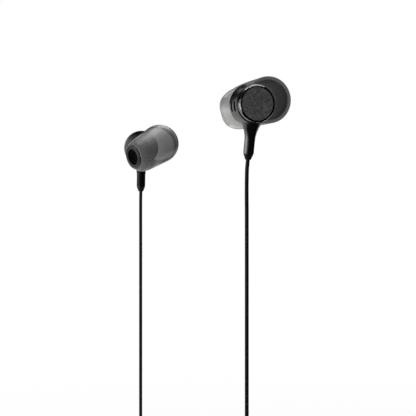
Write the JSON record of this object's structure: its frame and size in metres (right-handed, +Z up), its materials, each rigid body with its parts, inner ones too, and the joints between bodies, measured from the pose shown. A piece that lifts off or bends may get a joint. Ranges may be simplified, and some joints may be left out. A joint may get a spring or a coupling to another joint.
{
  "type": "wired in-ear earphones",
  "caption": "Wired in-ear earphones: short drum earpieces with soft slip-on ear tips, cords that join at a splitter, and a slim straight stereo plug.",
  "frame": {"origin": "centre of the mouth of the near earpiece's ear tip, where the ear holds it", "axes": "+Z up, +Y away from the viewer through the near earpiece toward the far one, +X to the viewer's right"},
  "size_m": [0.0642, 0.09, 0.1265],
  "materials": {
    "gloss_shell": "black ABS, polished",
    "gloss_bezel": "black ABS, high gloss",
    "spun_disc": "dark anodised, finely spun",
    "satin_shell": "black ABS, satin",
    "steel_mesh": "blackened steel, etched",
    "tip_silicone": "smoke-grey silicone, slightly translucent",
    "relief_rubber": "black TPE, satin",
    "cord_jacket": "black TPE jacket, satin",
    "copper": "enamelled copper wire",
    "foam": "black foam gasket",
    "driver_steel": "zinc-plated steel",
    "film": "clear amber film",
    "magnet_nickel": "nickel-plated magnet",
    "board": "green solder mask",
    "felt": "white damping felt",
    "tie": "black tie band",
    "plug_rubber": "black moulded TPE",
    "jack_gold": "gold-plated brass, polished",
    "insulator": "black insulator rings"
  },
  "bodies": {
    "earphones": {"near_rear_shell": "gloss_shell", "near_bezel_ring": "gloss_bezel", "near_face_disc": "spun_disc", "near_front_shell": "satin_shell", "near_nozzle_mesh": "steel_mesh", "near_strain_relief": "relief_rubber", "near_cord_end": "cord_jacket", "near_signal_wires": "copper", "near_driver_gasket": "foam", "near_driver_basket": "driver_steel", "near_diaphragm": "film", "near_voice_coil": "copper", "near_pole_plate": "driver_steel", "near_magnet": "magnet_nickel", "near_yoke": "driver_steel", "near_terminal_board": "board", "near_vent_felt": "felt", "near_vent_screen": "steel_mesh", "far_rear_shell": "gloss_shell", "far_bezel_ring": "gloss_bezel", "far_face_disc": "spun_disc", "far_front_shell": "satin_shell", "far_nozzle_mesh": "steel_mesh", "far_strain_relief": "relief_rubber", "far_cord_end": "cord_jacket", "far_signal_wires": "copper", "far_driver_gasket": "foam", "far_driver_basket": "driver_steel", "far_diaphragm": "film", "far_voice_coil": "copper", "far_pole_plate": "driver_steel", "far_magnet": "magnet_nickel", "far_yoke": "driver_steel", "far_terminal_board": "board", "far_vent_felt": "felt", "far_vent_screen": "steel_mesh", "near_cord_drop": "cord_jacket", "near_cord_coil": "cord_jacket", "near_cord_lead": "cord_jacket", "far_cord_drop": "cord_jacket", "far_cord_coil": "cord_jacket", "far_cord_lead": "cord_jacket", "branch_ties": "tie", "splitter": "plug_rubber", "main_cord_lead": "cord_jacket", "main_cord_coil": "cord_jacket", "main_cord_tail": "cord_jacket", "main_tie": "tie", "plug_relief": "plug_rubber", "plug_grip": "plug_rubber", "plug_sleeve": "jack_gold", "plug_ring": "jack_gold", "plug_tip": "jack_gold", "plug_insulators": "insulator"},
    "near_tip": {"near_ear_tip": "tip_silicone"},
    "far_tip": {"far_ear_tip": "tip_silicone"}
  },
  "joints": [
    {"name": "near_tip_pull_off", "type": "slide", "parent": "earphones", "child": "near_tip", "axis": [-0.9221, 0.3707, -0.1106], "range_m": [0, 0.004]},
    {"name": "far_tip_pull_off", "type": "slide", "parent": "earphones", "child": "far_tip", "axis": [-0.744, -0.6206, -0.2475], "range_m": [0, 0.004]}
  ]
}
